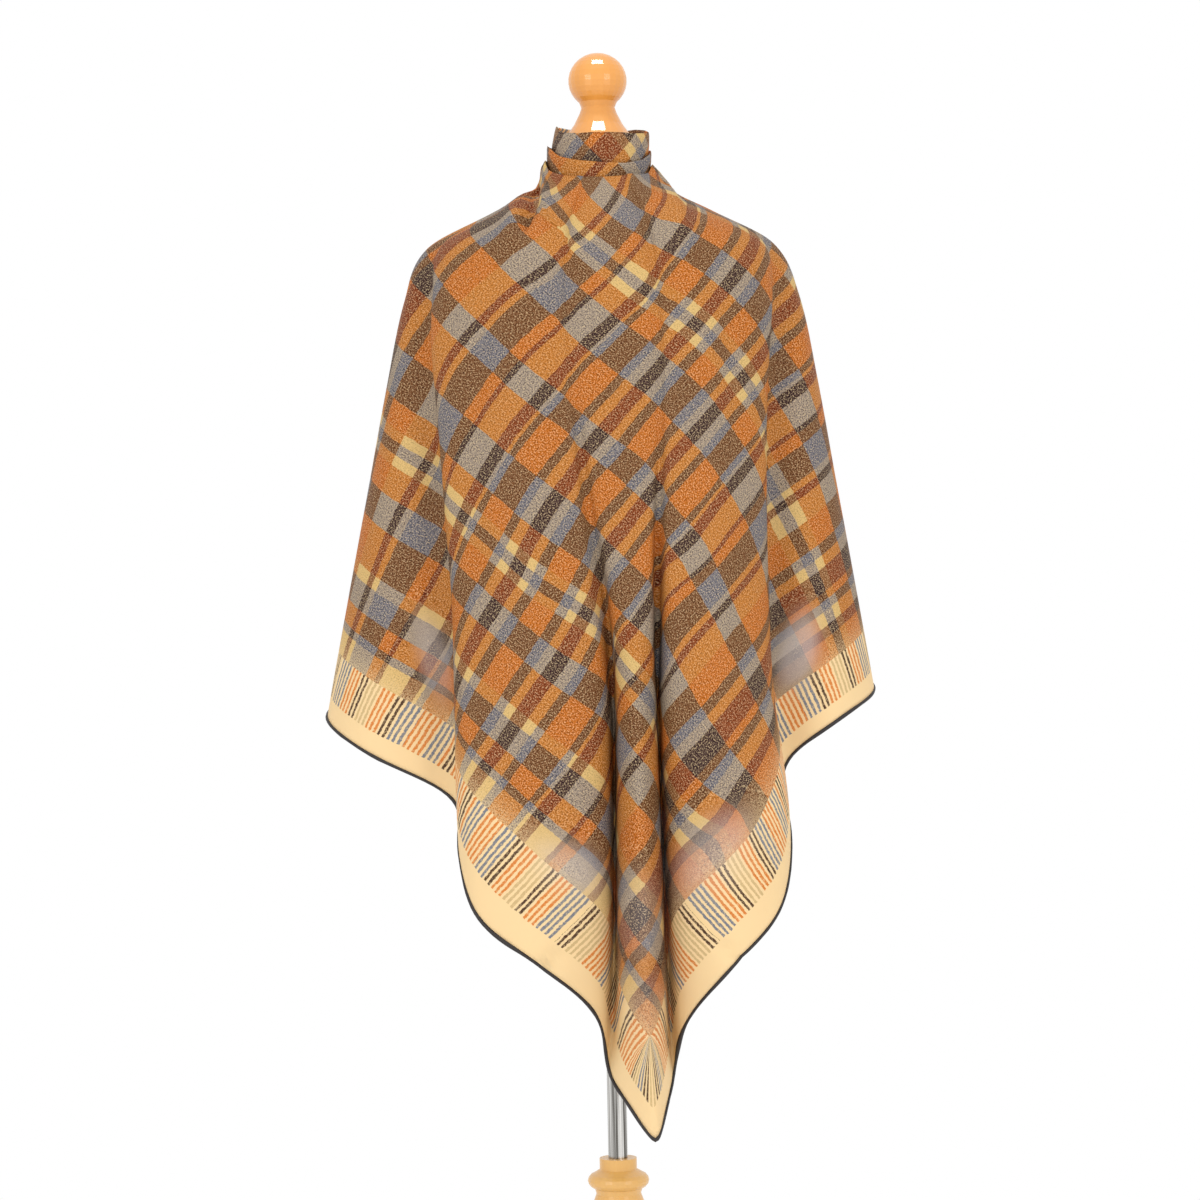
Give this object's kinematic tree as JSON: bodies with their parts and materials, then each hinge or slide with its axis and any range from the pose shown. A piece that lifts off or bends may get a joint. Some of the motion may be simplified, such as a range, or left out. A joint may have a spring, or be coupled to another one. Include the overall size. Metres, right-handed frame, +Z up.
{
  "type": "silk square scarf worn as a cape on a limbless dress form with a stand",
  "caption": "Large square plaid silk scarf worn as a cape, one corner hanging in front and the top wound round the neck, on a limbless dress form on a three-legged stand",
  "frame": {"origin": "middle of the whole object's base, on the floor; the pole's axis stands at x 9 mm, y 66 mm", "axes": "+Z up the pole, -Y the front, where the scarf's corner hangs, +X to the right of someone facing the front"},
  "size_m": [0.596, 0.4504, 1.5508],
  "materials": {
    "silk": "smooth printed silk, heathered plaid",
    "hem": "hand-rolled silk hem",
    "jersey": "matt stretched jersey",
    "beech": "varnished beech",
    "pale_wood": "varnished pale beech",
    "steel": "satin"
  },
  "bodies": {
    "root": {"scarf_front_left": "silk", "scarf_front_middle": "silk", "scarf_front_right": "silk", "scarf_side_left": "silk", "scarf_side_right": "silk", "scarf_back_left": "silk", "scarf_back_right": "silk", "neck_wind_upper": "silk", "neck_wind_middle": "silk", "hem_front_left": "hem", "hem_front_right": "hem", "hem_side_left": "hem", "hem_side_right": "hem", "hem_back_left": "hem", "hem_back_right": "hem", "form_torso": "jersey", "form_finial": "beech", "stand_pole": "steel", "stand_post": "pale_wood", "stand_leg_1": "pale_wood", "stand_leg_2": "pale_wood", "stand_leg_3": "pale_wood"}
  },
  "joints": []
}
